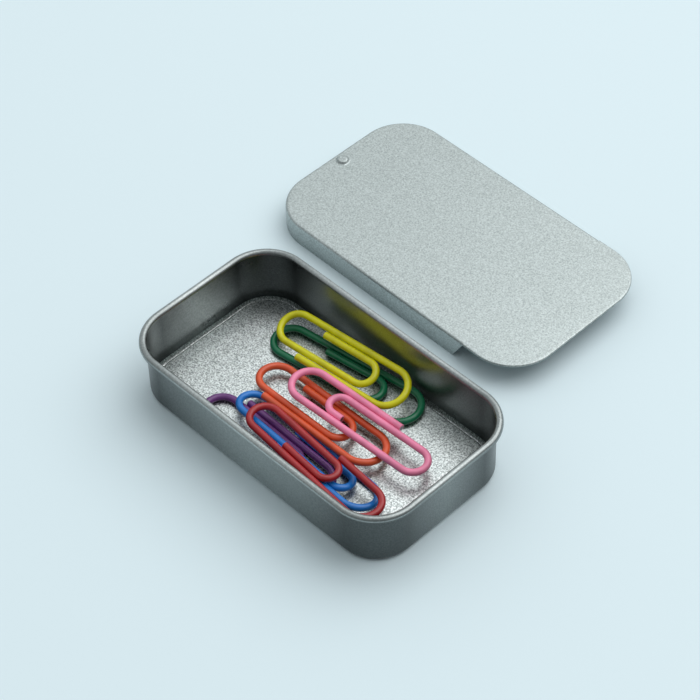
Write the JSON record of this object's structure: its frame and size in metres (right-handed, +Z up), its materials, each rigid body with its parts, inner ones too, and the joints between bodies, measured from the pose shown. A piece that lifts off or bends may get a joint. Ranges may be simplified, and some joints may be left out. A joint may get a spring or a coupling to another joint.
{
  "type": "slide-lid tin box",
  "caption": "Small rounded tinplate box with a rolled rim, its slide-off lid lying beside it and coated paper clips inside.",
  "frame": {"origin": "middle of the whole arrangement's footprint, on the table", "axes": "+X along the tray's long side, towards the lid's end with no skirt; +Y from the tray towards the lid behind it; +Z up"},
  "size_m": [0.071, 0.0782, 0.0119],
  "materials": {
    "tinplate": "matte rolled tinplate with fine grain",
    "coating_yellow": "smooth satin vinyl coating on steel wire",
    "coating_green": "smooth satin vinyl coating on steel wire",
    "coating_coral": "smooth satin vinyl coating on steel wire",
    "coating_pink": "smooth satin vinyl coating on steel wire",
    "coating_red": "smooth satin vinyl coating on steel wire",
    "coating_blue": "smooth satin vinyl coating on steel wire",
    "coating_purple": "smooth satin vinyl coating on steel wire"
  },
  "bodies": {
    "root": {"tray": "tinplate", "lid": "tinplate", "clip_yellow": "coating_yellow", "clip_green": "coating_green", "clip_coral": "coating_coral", "clip_pink": "coating_pink", "clip_red": "coating_red", "clip_blue": "coating_blue", "clip_purple": "coating_purple"}
  },
  "joints": []
}
